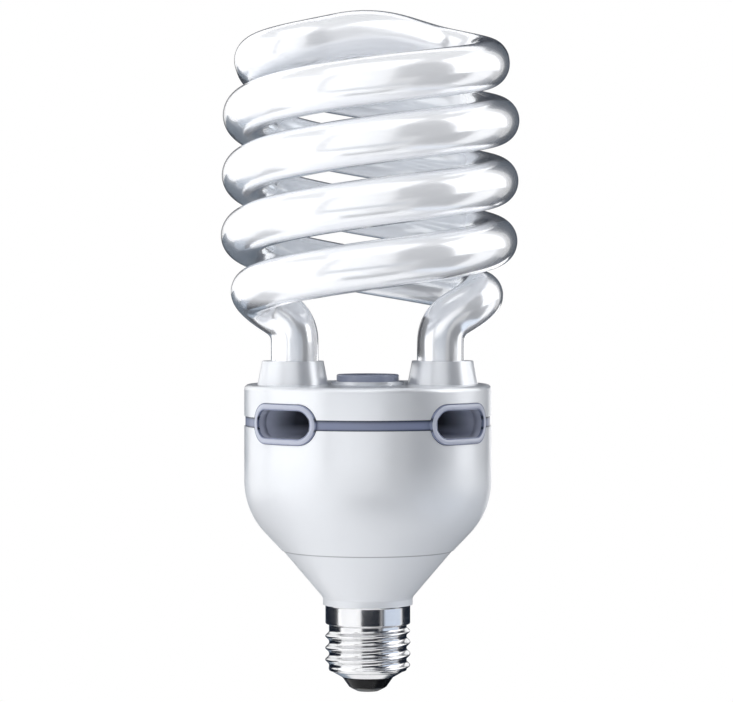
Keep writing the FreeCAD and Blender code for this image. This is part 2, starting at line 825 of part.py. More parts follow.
def make_lamp_choke():
    """A ferrite core with three legs, and a wound bobbin round the middle one."""
    x, y = spot("lamp_choke")
    z = s.board_height - s.choke_height
    flange = s.choke_flange
    span = s.choke_length - 3 * flange
    rise = s.choke_height - 3 * flange
    sill = z + flange * 1.5
    block = box(s.choke_length, s.choke_width - 2 * flange, s.choke_height, x, y, z)
    window = box(span, s.choke_width, rise, x, y, sill)
    leg = box(s.choke_leg, s.choke_width - 2 * flange, rise, x, y, sill)
    finish("choke_core", fuse(cut(block, window), leg))
    coil = cut(
        box(span, s.choke_width, rise, x, y, sill),
        box(s.choke_leg, s.choke_width - 2 * flange, rise, x, y, sill),
    )
    gap = span / 2 - flange
    side = s.choke_width / 2 - flange / 2
    feet = [(x + gap * i, y + side * j) for i in (-1, 1) for j in (-1, 1)]
    foot_z = s.board_height - flange * 1.5
    posts = [rod(s.lead_radius, flange * 1.5, px, py, foot_z) for px, py in feet]
    finish("choke_winding", fuse(coil, *posts, *leads(feet)))


def make_filter_choke():
    x, y = spot("filter_choke")
    z = s.board_height - s.filter_choke_length
    flange = s.filter_choke_flange
    waist = s.filter_choke_length - 2 * flange
    drum = fuse(
        rod(s.filter_choke_radius, flange, x, y, z),
        rod(s.filter_choke_waist, s.filter_choke_length, x, y, z),
        rod(s.filter_choke_radius, flange, x, y, s.board_height - flange),
    )
    gap = s.filter_choke_waist / 2
    finish("filter_choke_core", fuse(drum, *leads([(x - gap, y), (x + gap, y)])))
    finish(
        "filter_choke_winding",
        ring(s.filter_choke_radius - flange / 4, s.filter_choke_waist, waist, x, y, z + flange),
    )


def make_drive_toroid():
    """A small ferrite ring that lies under the board, with three windings through it."""
    x, y = spot("drive_toroid")
    wire = s.toroid_winding_thickness
    z = s.board_height - s.toroid_length - 2 * wire
    core = ring(s.toroid_radius, s.toroid_bore_radius, s.toroid_length, x, y, z + wire)
    finish("drive_toroid_core", core)
    middle = (s.toroid_radius + s.toroid_bore_radius) / 2
    span = s.toroid_radius - s.toroid_bore_radius + 2 * wire
    for number in range(WINDING_COUNT):
        turn = math.radians(90 + 360 / WINDING_COUNT * number)
        coil = box(span, s.toroid_winding_width, s.toroid_length + 2 * wire)
        coil.Placement = Placement(Vector(), Rotation(Vector(0, 0, 1), math.degrees(turn)))
        half_width = s.toroid_winding_width / 2
        along = middle - span / 2
        place(
            coil,
            x + along * math.cos(turn) + half_width * math.sin(turn),
            y + along * math.sin(turn) - half_width * math.cos(turn),
            z,
        )
        finish(f"drive_toroid_winding_{number + 1}", cut(coil, core))


def make_transistors():
    for name in ("transistor_high", "transistor_low"):
        x, y = spot(name)
        stand = s.transistor_standoff
        body_z = s.board_height - stand - s.transistor_body_height
        tab_z = s.board_height - stand - s.transistor_tab_height
        tab_x = x + (s.transistor_body_depth + s.transistor_tab_depth) / 2
        body = box(s.transistor_body_depth, s.transistor_width, s.transistor_body_height, x, y, body_z)
        tab = box(s.transistor_tab_depth, s.transistor_width, s.transistor_tab_height, tab_x, y, tab_z)
        hole_z = tab_z + s.transistor_tab_hole_radius * 1.7
        hole = rod(s.transistor_tab_hole_radius, s.transistor_width, tab_x, y, hole_z, "x")
        feet = [(x, y + s.transistor_width / 4 * k) for k in (-1, 0, 1)]
        legs = [rod(s.lead_radius, stand, px, py, s.board_height - stand) for px, py in feet]
        finish(name, fuse(body, cut(tab, hole), *legs, *leads(feet)))


def make_lying(label, name, radius, length, shift=0):
    """A round body that lies along X against the board, with a bent lead at each end."""
    x, y = spot(name)
    y = y + shift
    z = s.board_height - radius
    reach = as_size(length) / 2 + s.lead_radius * 2
    body = rod(radius, length, x, y, z, "x")
    ends = rod(s.lead_radius, reach * 2, x, y, z, "x")
    feet = [(x - reach, y), (x + reach, y)]
    risers = [rod(s.lead_radius, radius, px, py, z) for px, py in feet]
    finish(label, fuse(body, ends, *risers, *leads(feet)))


def make_small_parts():
    middle = (DIODE_COUNT - 1) / 2
    for i in range(DIODE_COUNT):
        shift = s.diode_spacing * (i - middle) + s.diode_spacing * middle
        make_lying(f"rectifier_diode_{i + 1}", "rectifier_diode", s.diode_radius, s.diode_length, shift)
    make_lying("fuse_resistor", "fuse_resistor", s.fuse_resistor_radius, s.fuse_resistor_length)
    make_lying("start_resistor", "start_resistor", s.resistor_radius, s.resistor_length)
    make_lying("base_resistor", "base_resistor", s.resistor_radius, s.resistor_length)
    make_lying("diac", "diac", s.diac_radius, s.diac_length)


def make_film_capacitors():
    long, short = s.film_capacitor_length, s.film_capacitor_width
    sides = {
        "start_capacitor": (short, long),
        "coupling_capacitor": (long, short),
        "input_capacitor": (long * 0.75, short),
    }
    for name, (dx, dy) in sides.items():
        x, y = spot(name)
        z = s.board_height - s.film_capacitor_height
        block = box(dx, dy, s.film_capacitor_height, x, y, z)
        doc.recompute()
        soft = doc.addObject("Part::Fillet", name + "_case")
        soft.Base = block
        upright = []
        for i, edge in enumerate(block.Shape.Edges, 1):
            if abs(edge.tangentAt(edge.FirstParameter).z) > 0.9:
                upright.append((i, s.film_capacitor_rounding.number, s.film_capacitor_rounding.number))
        soft.Edges = upright
        along_x = dx.number > dy.number
        gap = (dx if along_x else dy) / 2.6
        feet = [(x - gap, y), (x + gap, y)] if along_x else [(x, y - gap), (x, y + gap)]
        finish(name, fuse(soft, *leads(feet)))


def make_thermistor():
    x, y = spot("thermistor")
    r = s.thermistor_radius
    z = s.board_height - r
    disc = rod(r, s.thermistor_thickness, x, y, z, "y")
    gap = r / 2
    feet = [(x - gap, y), (x + gap, y)]
    stubs = [rod(s.lead_radius, r, px, py, z) for px, py in feet]
    finish("thermistor", fuse(disc, *stubs, *leads(feet)))


def make_wrap_pins():
    """Square-cut pins on the board that the tube's lead wires are wrapped round."""
    number = 0
    for x in leg_places().values():
        for side in (-1, 1):
            number += 1
            y = s.wrap_pin_spacing / 2 * side
            pin = rod(s.wrap_pin_radius, s.board_thickness + s.wrap_pin_height, x, y, s.board_height)
            lead_holes.append((x, y, s.wrap_pin_radius))
            finish(f"wrap_pin_{number}", pin)
            start = s.board_height + s.board_thickness + s.wrap_pin_height
            wire = rod(s.lead_radius, s.tube_foot_height - start, x, y, start)
            finish(f"tube_lead_{number}", wire)


def bent_wire(points, radius):
    """A wire along straight runs joined by arcs that are as large as the runs allow."""
    line = doc.addObject("Part::Feature", "wire_line")
    edges = []
    start = points[0]
    for before, corner, after in zip(points, points[1:], points[2:]):
        back = before - corner
        ahead = after - corner
        reach = 0.45 * min(back.Length, ahead.Length)
        half_turn = (math.pi - back.getAngle(ahead)) / 2
        bend = reach / math.tan(half_turn)
        back.normalize()
        ahead.normalize()
        inwards = (back + ahead).normalize()
        middle = corner + inwards * (bend / math.cos(half_turn) - bend)
        entry, leave = corner + back * reach, corner + ahead * reach
        edges.append(Part.LineSegment(start, entry).toShape())
        edges.append(Part.Arc(entry, middle, leave).toShape())
        start = leave
    edges.append(Part.LineSegment(start, points[-1]).toShape())
    line.Shape = Part.Wire(edges)
    section = doc.addObject("Part::Circle", "wire_section")
    bind(section, Radius=radius)
    section.Placement = Placement(points[0], Rotation(Vector(0, 0, 1), points[1] - points[0]))
    wire = doc.addObject("Part::Sweep", "wire")
    wire.Sections = [section]
    wire.Spine = (line, [f"Edge{i + 1}" for i in range(len(edges))])
    wire.Solid = True
    wire.Transition = "Right corner"
    return wire


def make_supply_wires():
    """One wire from the board to the centre contact's rivet, one to the shell's wall."""
    top = s.board_height.number
    neck = s.neck_foot_height.number
    x, y = (size.number for size in spot("contact_wire"))
    rivet = s.insulator_top_height.number
    route = [
        Vector(x, y, top),
        Vector(x, y, neck + 12),
        Vector(x / 3, y / 3, neck - 4),
        Vector(0, 0, rivet + 8),
        Vector(0, 0, rivet),
    ]
    finish("contact_wire", bent_wire(route, s.supply_wire_radius))
    x, y = (size.number for size in spot("shell_wire"))
    reach = (s.thread_root_radius - s.shell_wall - s.supply_wire_radius).number
    bore = reach - (s.neck_wall + s.spigot_clearance + s.supply_wire_gap).number
    mouth = (s.band_end_height - s.neck_spigot_length).number
    route = [
        Vector(x, y, top),
        Vector(x, y, neck + 12),
        Vector(bore, 0, neck + 1),
        Vector(bore, 0, mouth - 3),
        Vector(reach, 0, mouth - 6.5),
        Vector(reach, 0, mouth - 10.5),
    ]
    finish("shell_wire", bent_wire(route, s.supply_wire_radius))


def make_circuit_board():
    """The round board, with a hole for every lead and pin."""
    disc = rod(s.board_radius, s.board_thickness, 0, 0, s.board_height)
    holes = [rod(r, s.board_thickness, x, y, s.board_height) for x, y, r in lead_holes]
    finish("circuit_board", cut(disc, *holes))


def check_and_write():
    """Stops on a failed object, and writes each sub-part to its own file."""
    doc.recompute()
    for thing in doc.Objects:
        if "Invalid" in thing.State or "Error" in thing.State:
            raise RuntimeError(f"{thing.Label} ({thing.TypeId}) failed: {thing.State}")
    for label, thing in parts.items():
        shape = thing.Shape
        if shape.isNull() or not shape.isValid() or not shape.Solids:
            raise RuntimeError(f"{label} has no valid solid")
    os.makedirs("parts", exist_ok=True)
    for label, thing in parts.items():
        thing.Shape.exportStep(f"parts/{label}.step")
        print(label, len(thing.Shape.Solids), round(thing.Shape.Volume, 1))


make_centre_contact()
make_cap_insulator()
make_cap_shell()
make_neck_cone()
make_lower_bowl()
make_air_duct()
make_upper_cover()
make_spiral_tube()
make_tube_cements()
make_bulk_capacitor()
make_lamp_choke()
make_filter_choke()
make_drive_toroid()
make_transistors()
make_small_parts()
make_film_capacitors()
make_thermistor()
make_wrap_pins()
make_supply_wires()
make_circuit_board()
check_and_write()
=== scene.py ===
# %% [markdown]
# # A spiral lamp with a vented housing
# The lamp screws into a standard holder. From the bottom it has a metal cap with a black
# insulator, a white moulded housing that hides the ballast, and a long glass tube that is
# wound into two interleaved spirals. The measured model gives every piece its place, so
# this script only dresses it: it replaces the tube and the cap's shell by smoother
# surfaces, adds a soft lip round each vent, and gives each piece a finish of its own.

# %% Load the measured model
import json
import math

import bpy
import numpy as np
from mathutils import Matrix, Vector


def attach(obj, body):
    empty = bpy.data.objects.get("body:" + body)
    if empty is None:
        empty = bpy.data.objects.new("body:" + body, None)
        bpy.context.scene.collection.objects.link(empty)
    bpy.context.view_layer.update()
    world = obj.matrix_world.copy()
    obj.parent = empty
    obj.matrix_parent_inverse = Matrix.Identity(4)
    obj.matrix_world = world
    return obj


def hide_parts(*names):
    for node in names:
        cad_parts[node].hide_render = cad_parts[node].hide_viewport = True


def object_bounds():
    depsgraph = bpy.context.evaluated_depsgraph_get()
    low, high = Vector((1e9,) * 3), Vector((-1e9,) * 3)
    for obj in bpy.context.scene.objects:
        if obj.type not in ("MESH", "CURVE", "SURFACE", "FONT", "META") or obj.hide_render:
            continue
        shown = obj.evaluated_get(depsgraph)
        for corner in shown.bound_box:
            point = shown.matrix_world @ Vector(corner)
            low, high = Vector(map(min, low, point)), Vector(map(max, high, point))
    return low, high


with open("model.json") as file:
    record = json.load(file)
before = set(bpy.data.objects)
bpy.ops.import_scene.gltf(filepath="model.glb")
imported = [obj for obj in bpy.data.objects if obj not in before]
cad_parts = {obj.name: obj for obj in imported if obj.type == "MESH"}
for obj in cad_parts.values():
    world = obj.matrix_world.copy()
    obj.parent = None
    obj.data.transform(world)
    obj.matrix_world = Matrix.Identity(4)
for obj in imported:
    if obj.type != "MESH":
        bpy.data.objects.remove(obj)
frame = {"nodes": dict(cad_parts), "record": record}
cad_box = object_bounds()
MM = 0.001
size = [round((end - start) / MM, 1) for start, end in zip(*cad_box)]
print("nodes:", len(frame["nodes"]), "size in mm:", size)

# %% [markdown]
# ## Surfaces as grids
# Each new piece is a grid of points, worked out for all its rows and columns at once. Rows
# run along the piece and columns run round it, so a ring of columns closes on itself, and
# a fan at each end closes the poles.


# %% Grid to mesh
def grid_piece(name, points, cap_ends=False):
    """A mesh from points[row, column]: every four neighbours make a face, the last column
    joins the first, and each end row may be closed by a fan about its mean point."""
    rows, cols = points.shape[:2]
    at = np.arange(rows * cols).reshape(rows, cols)
    right = np.roll(at, -1, axis=1)
    quads = np.stack([at[:-1], right[:-1], right[1:], at[1:]], axis=-1).reshape(-1, 4)
    verts = points.reshape(-1, 3)
    faces = quads.tolist()
    if cap_ends:
        count = len(verts)
        verts = np.vstack([verts, points[0].mean(axis=0), points[-1].mean(axis=0)])
        first = np.stack([right[0], at[0], np.full(cols, count)], axis=-1)
        last = np.stack([at[-1], right[-1], np.full(cols, count + 1)], axis=-1)
        faces += first.tolist() + last.tolist()
    mesh = bpy.data.meshes.new(name)
    mesh.from_pydata(verts.tolist(), [], faces)
    mesh.polygons.foreach_set("use_smooth", np.ones(len(faces), bool))
    mesh.update()
    piece = bpy.data.objects.new(name, mesh)
    bpy.context.scene.collection.objects.link(piece)
    print(name, "faces:", len(faces))
    return piece


# %% [markdown]
# ## The tube's centre line
# The glass is one tube. Each half rises from the housing, bends outwards, climbs two turns
# as a right-hand helix and meets the other half in an S over the axis. The second half is
# the first one turned half round. The whole coil leans a little to the right and back, as
# hand-guided glass does. The line is a chain of corners whose turns are rounded by arcs,
# and a short running mean then hides the places where one arc meets the next.

# %% Sizes of the tube, in millimetres
TUBE = dict(
    radius=7.25, leg=22.35, foot=88.0, bend=112.8, bend_radius=9.5,
    reach=36.2, reach_back=1.0, reach_height=121.0,
    coil=38.1, end_turn=36.9, end_drop=1.4, pitch=36.8, start=120.5,
    bridge=202.4, bridge_reach=35.2, bridge_slant=30.0,
    lean_right=1.0, lean_back=1.3,
)
STEP = 30  # degrees from one corner of the helix to the next
TURNS_END = 720  # degrees that each strand climbs
print("turns of each strand:", TURNS_END / 360, "climb in mm:", TUBE["pitch"] * TURNS_END / 360)


# %% Corners of one strand
def coil_end(t):
    """Height at which the helix ends: its start, plus its pitches, less the last drop."""
    return t["start"] + t["pitch"] * TURNS_END / 360 - t["end_drop"]


def strand():
    """Corners of one half: leg, bend, a corner each STEP degrees of the helix at radius
    r / cos(STEP / 2), where r shrinks to the end turns by a half-sine, then half of the S:
    a loop of radius R sin(s) / (1 + sin(s)) that ends on a line through the axis, at the
    slant s, and rises evenly along its way."""
    t = TUBE
    leg = [(t["leg"], 0, t["foot"]), (t["leg"], 0, t["bend"])]
    leg.append((t["reach"], t["reach_back"], t["reach_height"]))
    turn = np.arange(STEP, TURNS_END, STEP)
    near_end = np.minimum(np.minimum(turn, TURNS_END - turn), 180)
    r = t["end_turn"] + (t["coil"] - t["end_turn"]) * np.sin(np.radians(near_end / 2))
    r = r / math.cos(math.radians(STEP / 2))
    late = np.maximum(turn - TURNS_END + 180, 0) / 180
    z = t["start"] + t["pitch"] * turn / 360 - t["end_drop"] * late**2
    coil = np.stack([r * np.cos(np.radians(turn)), r * np.sin(np.radians(turn)), z], axis=-1)
    slant = math.radians(t["bridge_slant"])
    loop = t["bridge_reach"] * math.sin(slant) / (1 + math.sin(slant))
    loop_turn = math.pi / 2 + slant
    angle = loop_turn * np.array([1, 3, 5, 7]) / 8
    wide = loop / math.cos(loop_turn / 8)
    way = loop * loop_turn + loop / math.tan(slant)
    bridge = np.stack([
        t["bridge_reach"] - loop + wide * np.cos(angle),
        wide * np.sin(angle),
        coil_end(t) + (t["bridge"] - coil_end(t)) * loop * angle / way,
    ], axis=-1)
    return np.vstack([leg, coil, bridge, (0, 0, t["bridge"])])


print("corners of one strand:", len(strand()))


# %% The lean of the coil
def leaned(points):
    """Shifts each point right and back by the lean times its height over the bend, and
    tilts the middle turns by the same lean."""
    t = TUBE
    right, back = math.sin(math.radians(t["lean_right"])), math.sin(math.radians(t["lean_back"]))
    rise = np.maximum(points[:, 2] - t["bend"], 0)
    level = np.clip((coil_end(t) - points[:, 2]) / t["pitch"] * 2, 0, 1)
    fade = np.minimum(rise / t["radius"] / 2, 1) * level
    drop = (right * points[:, 0] + back * points[:, 1]) * fade
    return points + np.stack([right * rise, back * rise, -drop], axis=-1)


lean_end = leaned(strand()[-1:])[0]
print("the bridge's middle leans to x and y in mm:", lean_end[:2].round(1).tolist())


# %% [markdown]
# ## From corners to a smooth line
# Glass bends in arcs, so each corner is cut off by an arc that is tangent to both its
# sides. An arc may use at most half of a side that it shares, and working from both ends
# at once keeps the two halves of the tube alike.

# %% Round the corners
ARC_POINTS, SIDE_POINTS = 25, 12


def reaches(side, half, first_radius):
    """How far each arc reaches along its sides, from one end of the chain: the rest of the
    side before it, and at most half of the side after it."""
    reach = [first_radius * math.tan(half[0])]
    for i in range(1, len(half)):
        reach.append(min(side[i] - reach[-1], side[i + 1] / 2))
    return reach


def rounded(points, first_radius):
    """Samples of a chain of corners whose arcs are tangent to both their sides, worked out
    alike from both ends. An arc is drawn as sines of its turn, from its entry to its exit."""
    side = np.linalg.norm(np.diff(points, axis=0), axis=1)
    ahead = np.diff(points, axis=0) / side[:, None]
    half = np.arccos(np.clip(np.sum(ahead[:-1] * ahead[1:], axis=1), -1, 1)) / 2
    count = len(half)
    from_start = reaches(side, half, first_radius)
    from_end = reaches(side[::-1], half[::-1], first_radius)[::-1]
    line = [points[:1]]
    start = points[0]
    for i, reach in enumerate(from_start[:count // 2] + from_end[count // 2:]):
        entry = points[i + 1] - ahead[i] * reach
        leave = points[i + 1] + ahead[i + 1] * reach
        inwards = ahead[i + 1] - ahead[i]
        inwards /= np.linalg.norm(inwards)
        centre = points[i + 1] + inwards * reach / math.sin(half[i])
        t = np.linspace(0, 1, ARC_POINTS)[:, None]
        arc = (entry - centre) * np.sin((1 - t) * 2 * half[i])
        arc = arc + (leave - centre) * np.sin(t * 2 * half[i])
        line.append(start + (entry - start) * np.linspace(0, 1, SIDE_POINTS)[1:-1, None])
        line.append(centre + arc / math.sin(2 * half[i]))
        start = leave
    line.append(start + (points[-1] - start) * np.linspace(0, 1, SIDE_POINTS)[1:, None])
    return np.vstack(line)


sharp = np.array([(0, 0, 0), (10, 0, 0), (10, 10, 0)], float)
print("a square corner becomes points:", len(rounded(sharp, 5.0)))


# %% Even spacing
def spaced(line, step):
    """The same line with points evenly spaced along it: each coordinate is read off at
    equal steps of the length so far."""
    along = np.concatenate([[0], np.cumsum(np.linalg.norm(np.diff(line, axis=0), axis=1))])
    to = np.linspace(0, along[-1], int(along[-1] / step) + 1)
    return np.stack([np.interp(to, along, line[:, k]) for k in range(3)], axis=-1)


print("points at 1 mm on that corner:", len(spaced(rounded(sharp, 5.0), 1.0)))

# %% Join the two strands and soften the line
FINE_STEP, TUBE_STEP = 0.5, 1.1  # in millimetres
WINDOW, STRAIGHT = 13, 20  # points in the running mean, and points at each end left as they are

half = strand()
corners = leaned(np.vstack([half, half[-2::-1] * [-1, -1, 1]]))
line = spaced(rounded(corners, TUBE["bend_radius"]), FINE_STEP)
window = np.hanning(WINDOW)
window /= window.sum()
before, after = (np.repeat(end, WINDOW // 2, axis=0) for end in (line[:1], line[-1:]))
padded = np.vstack([before, line, after])
soft = np.stack([np.convolve(padded[:, k], window, "valid") for k in range(3)], axis=-1)
soft[:STRAIGHT], soft[-STRAIGHT:] = line[:STRAIGHT], line[-STRAIGHT:]
line = spaced(soft, TUBE_STEP)
print("tube length in mm:", round(float(np.linalg.norm(np.diff(line, axis=0), axis=1).sum())))


# %% [markdown]
# ## A round section carried along the line
# A tube needs a section that doesn't twist as it travels. Each section's first direction is
# the one before it with its part along the new tangent taken out, which is the usual way
# to carry a frame along a bent line.

# %% Carry the section
TUBE_COLUMNS = 72


def carried(line):
    """Tangents by central differences, and a side vector that is carried along: the side
    before, less its part along the tangent, made unit length again."""
    tangent = np.gradient(line, axis=0)
    tangent /= np.linalg.norm(tangent, axis=1)[:, None]
    side = np.zeros_like(line)
    side[0] = (0, 1, 0)
    for i in range(1, len(line)):
        v = side[i - 1] - tangent[i] * (side[i - 1] @ tangent[i])
        side[i] = v / np.linalg.norm(v)
    return tangent, side


def tube_grid(line, radius, columns):
    """Point = centre + radius * (cos a * side + sin a * (tangent x side))."""
    tangent, side = carried(line)
    other = np.cross(tangent, side)
    a = np.linspace(0, 2 * np.pi, columns, endpoint=False)[None, :, None]
    return line[:, None] + radius * (np.cos(a) * side[:, None] + np.sin(a) * other[:, None])


# %% Build the tube
tube_points = tube_grid(line, TUBE["radius"], TUBE_COLUMNS) * MM
glass_tube = grid_piece("glass_tube", tube_points, cap_ends=True)
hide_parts("spiral_tube")
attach(glass_tube, "root")

# %% [markdown]
# ## The rolled screw shell
# The cap's shell is thin sheet, rolled between dies, so its thread is a soft wave and its
# inside follows its outside. The surface is a function of height and angle: a plain
# turned profile, plus a wave that climbs one pitch in each turn and fades at both ends.

# %% Plain profile of the shell
SHELL = dict(
    wall=0.45, lip=8.3, lip_height=4.5, shoulder=11.2, shoulder_height=6.2, root=11.9,
    crest=13.05, pitch=3.629, crest_height=7.8, sharpness=1.5, thread_low=6.4,
    thread_high=19.9, fade=1.6, band=13.0, band_foot=20.35, band_start=20.8, band_end=26.6,
    flare=0.4,
)
SHELL_COLUMNS = 160


def shell_profile(inset):
    """Plain (radius, height) stations from the lip up to the flared rim, moved in by inset."""
    s = SHELL
    flare_start = s["band_end"] - s["flare"]
    z = np.concatenate([
        np.linspace(s["lip_height"], s["shoulder_height"], 10),
        np.linspace(s["shoulder_height"], s["band_foot"], 150)[1:],
        np.linspace(s["band_foot"], flare_start, 30)[1:],
        np.linspace(flare_start, s["band_end"], 5)[1:],
    ])
    knots = [s["lip_height"], s["shoulder_height"], s["thread_low"], s["band_foot"],
             s["band_start"], flare_start, s["band_end"]]
    radii = [s["lip"], s["shoulder"], s["root"], s["root"], s["band"], s["band"],
             s["band"] + s["flare"]]
    return np.interp(z, knots, radii) - inset, z


print("stations of the profile:", len(shell_profile(0.0)[0]))


# %% Thread on the profile
def shell_surface(inset):
    """Radius = profile + depth * wave, wave = (0.5 + 0.5 cos(2 pi (z / pitch - turns)))
    ** sharpness, which makes crests narrower than valleys. The wave fades in and out at
    the thread's ends by f * f * (3 - 2 f), where f rises from 0 to 1."""
    s = SHELL
    r, z = shell_profile(inset)
    a = np.linspace(0, 2 * np.pi, SHELL_COLUMNS, endpoint=False)[None]
    turns = (z[:, None] - s["crest_height"]) / s["pitch"] - a / 2 / np.pi
    wave = (0.5 + 0.5 * np.cos(2 * np.pi * turns)) ** s["sharpness"]
    rising = np.clip((z - s["thread_low"]) / s["fade"], 0, 1)
    falling = np.clip((s["thread_high"] - z) / s["fade"], 0, 1)
    fade = rising * falling
    fade = fade * fade * (3 - 2 * fade)
    radius = r[:, None] + (s["crest"] - s["root"]) * wave * fade[:, None]
    height = np.broadcast_to(z[:, None], radius.shape)
    return np.stack([radius * np.cos(a), radius * np.sin(a), height], axis=-1)


# %% Build the shell
outside, inside = shell_surface(0.0), shell_surface(SHELL["wall"])
wall = np.vstack([outside, inside[::-1], outside[:1]])
screw_shell = grid_piece("screw_shell", wall * MM)
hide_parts("cap_shell")
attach(screw_shell, "root")


# %% [markdown]
# ## Lips round the vents
# Four oval vents let air into the housing. Each has a raised lip with a soft, rounded
# edge, which catches light above and below. The lip is the duct's plastic, but its colour
# is paler than the duct's: painted light. The moulded duct behind it is plain, so only
# the lip is made here: a closed ring whose rows step across the lip, from its foot in the
# gap of the housing over the crest and a little way into the mouth. Every row is the same
# oval, made larger or smaller, and laid on a cylinder of its own radius.

# %% Outline of a vent
VENT = dict(
    height=82.95, mouth_width=22.0, mouth_depth=8.4, spread=46.6,
    lip=1.95, crest=38.45, swell=1.15, foot=36.2,
)
# The rows behind the crest: how much wider than the mouth each is, and its distance from
# the axis. They go a little way into the mouth and come back behind the lip.
BACK_GROW = [-0.12, -0.2, 0.35, VENT["lip"] - 0.4, VENT["lip"]]
BACK_RISE = [VENT["foot"], 34.6, 34.4, 35.6, VENT["foot"]]
LIP_ROWS, OVAL_POINTS = 15, 25


def oval(half_length, end_radius, count):
    """Points round an oval of two half circles and two straights: the angle runs evenly
    round each end, and each straight is divided evenly between the ends."""
    a = np.linspace(-np.pi / 2, np.pi / 2, count)
    along = np.linspace(half_length, -half_length, count)[1:-1]
    across = np.full_like(along, end_radius)
    end, rise = half_length + end_radius * np.cos(a), end_radius * np.sin(a)
    x = np.concatenate([end, along, -end, -along])
    y = np.concatenate([rise, across, -rise, -across])
    return x, y


print("points round a vent:", len(oval(1.0, 1.0, OVAL_POINTS)[0]))


# %% Surface of a lip
def lip_surface(angle):
    """Row k: the mouth's oval grown by grow[k], at distance sqrt(rise[k]^2 - across^2)
    from the axis, so that it lies on a cylinder of radius rise[k]. Over the crest the
    rise follows sin(t) ** 0.7, a dome that is fuller than a sine."""
    v = VENT
    t = np.linspace(0, np.pi, LIP_ROWS)
    over = (1 - np.cos(t)) / 2
    crest = v["crest"] - v["swell"] + v["swell"] * np.sin(t) ** 0.7
    grow = np.concatenate([[v["lip"]], v["lip"] * (1 - over), BACK_GROW])
    rise = np.concatenate([[v["foot"]], crest, BACK_RISE])
    half = (v["mouth_width"] - v["mouth_depth"]) / 2
    rows = [oval(half, v["mouth_depth"] / 2 + g, OVAL_POINTS) for g in grow]
    across = np.stack([row[0] for row in rows])
    up = np.stack([row[1] for row in rows]) + v["height"]
    out = np.sqrt(rise[:, None] ** 2 - across**2)
    c, s = math.cos(math.radians(angle)), math.sin(math.radians(angle))
    return np.stack([out * c - across * s, out * s + across * c, up], axis=-1)


# %% Build the four lips
lips = []
directions = [face + side * VENT["spread"] for face in (-90, 90) for side in (-1, 1)]
for number, angle in enumerate(directions, 1):
    lip = grid_piece(f"vent_lip_{number}", lip_surface(angle) * MM)
    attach(lip, "root")
    lips.append(lip)

# %% [markdown]
# ## Shader maths as expressions
# A finish is easier to read as a formula than as a drawing of nodes. A small class wraps a
# node's output, so that `1 - mask * 0.3` adds the Math nodes that it says. A second class
# holds one material: it sets the shader's sockets by name, and gives noise, height and
# distance from the axis, all in the lamp's own place, so patterns stay on their pieces.

# %% Sockets that can be added and multiplied
class Mix:
    """One output of a node in a finish, with arithmetic on its values."""

    def __init__(self, tree, socket):
        self.tree = tree
        self.socket = socket

    def math(self, operation, a, b=0.0):
        node = self.tree.nodes.new("ShaderNodeMath")
        node.operation = operation
        for slot, value in zip(node.inputs, (a, b)):
            connect(self.tree, slot, value)
        return Mix(self.tree, node.outputs[0])

    def __add__(self, other):
        return self.math("ADD", self, other)

    def __sub__(self, other):
        return self.math("SUBTRACT", self, other)

    def __rsub__(self, other):
        return self.math("SUBTRACT", other, self)

    def __mul__(self, other):
        return self.math("MULTIPLY", self, other)

    __radd__ = __add__
    __rmul__ = __mul__

    def clamp(self):
        node = self.tree.nodes.new("ShaderNodeClamp")
        connect(self.tree, node.inputs[0], self)
        return Mix(self.tree, node.outputs[0])


def connect(tree, slot, value):
    """Links a wrapped output, or sets a plain value."""
    if isinstance(value, Mix):
        tree.links.new(value.socket, slot)
    else:
        slot.default_value = value


print("operators:", "+ - * and clamp()")


